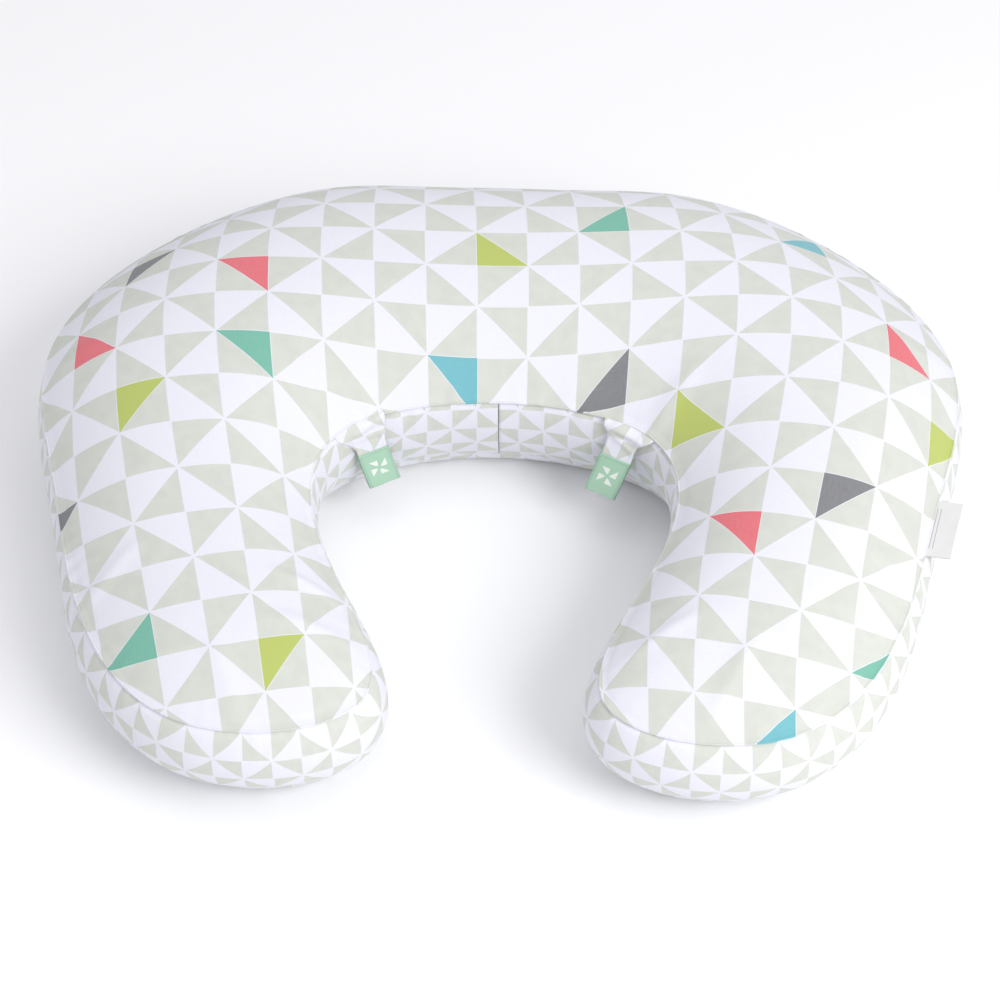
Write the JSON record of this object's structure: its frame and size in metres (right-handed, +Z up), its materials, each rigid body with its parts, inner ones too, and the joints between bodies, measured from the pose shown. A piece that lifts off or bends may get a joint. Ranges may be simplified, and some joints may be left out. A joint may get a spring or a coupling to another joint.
{
  "type": "nursing pillow",
  "caption": "C-shaped boxed nursing pillow with a crowned top, a removable printed zip cover, hanging tabs at the waist and a folded tag in the outer seam.",
  "frame": {"origin": "centre of the bounding box's footprint, on the plane the pillow lies on", "axes": "+X to the pillow's right arm seen from the open side, +Y to the closed back of the C, +Z up"},
  "size_m": [0.5526, 0.4413, 0.1255],
  "materials": {
    "cover_print_large": "plain-weave printed cotton",
    "cover_print_small": "plain-weave printed cotton",
    "casing_cloth": "plain white non-woven cloth",
    "polyester_fibre": "loose polyester fibre",
    "zip_tape": "woven polyester tape",
    "zip_coil": "nylon coil",
    "zip_metal": "white painted die-cast metal",
    "tab_cloth": "printed cotton, folded",
    "woven_label": "woven damask ribbon",
    "satin_tag": "satin ribbon, folded"
  },
  "bodies": {
    "cushion": {"cover_top_panel": "cover_print_large", "cover_bottom_panel": "cover_print_small", "side_band_right": "cover_print_small", "side_band_left": "cover_print_small", "zip_strip_upper": "cover_print_small", "zip_strip_lower": "cover_print_small", "casing_top_panel": "casing_cloth", "casing_bottom_panel": "casing_cloth", "casing_band": "casing_cloth", "fibre_fill": "polyester_fibre", "zipper_tape_upper": "zip_tape", "zipper_tape_lower": "zip_tape", "zipper_coil_upper": "zip_coil", "zipper_coil_lower": "zip_coil", "zipper_end_stops": "zip_metal"},
    "tab_left": {"tab_left_strap": "tab_cloth", "tab_left_label": "woven_label"},
    "tab_right": {"tab_right_strap": "tab_cloth", "tab_right_label": "woven_label"},
    "side_tag": {"side_tag": "satin_tag"},
    "zipper_slider": {"zipper_slider": "zip_metal"},
    "zipper_pull": {"zipper_pull": "zip_metal"}
  },
  "joints": [
    {"name": "tab_left_flip", "type": "hinge", "parent": "cushion", "child": "tab_left", "pos_m": [-0.07764, 0.01121, 0.07919], "axis": [-0.8619, -0.5071, 0], "range_deg": [0, 190]},
    {"name": "tab_right_flip", "type": "hinge", "parent": "cushion", "child": "tab_right", "pos_m": [0.07574, 0.01229, 0.07921], "axis": [-0.8761, 0.4821, 0], "range_deg": [-6, 182]},
    {"name": "side_tag_flip", "type": "hinge", "parent": "cushion", "child": "side_tag", "pos_m": [0.24926, -0.05863, 0.07821], "axis": [-0.239, -0.971, 0], "range_deg": [-40, 100]},
    {"name": "zipper_slider_travel", "type": "slide", "parent": "cushion", "child": "zipper_slider", "axis": [-1, 0, 0], "range_m": [0, 0.172]},
    {"name": "zipper_pull_swing", "type": "hinge", "parent": "zipper_slider", "child": "zipper_pull", "pos_m": [0.086, 0.21905, 0.05], "axis": [0, 0, -1], "range_deg": [0, 170]}
  ]
}
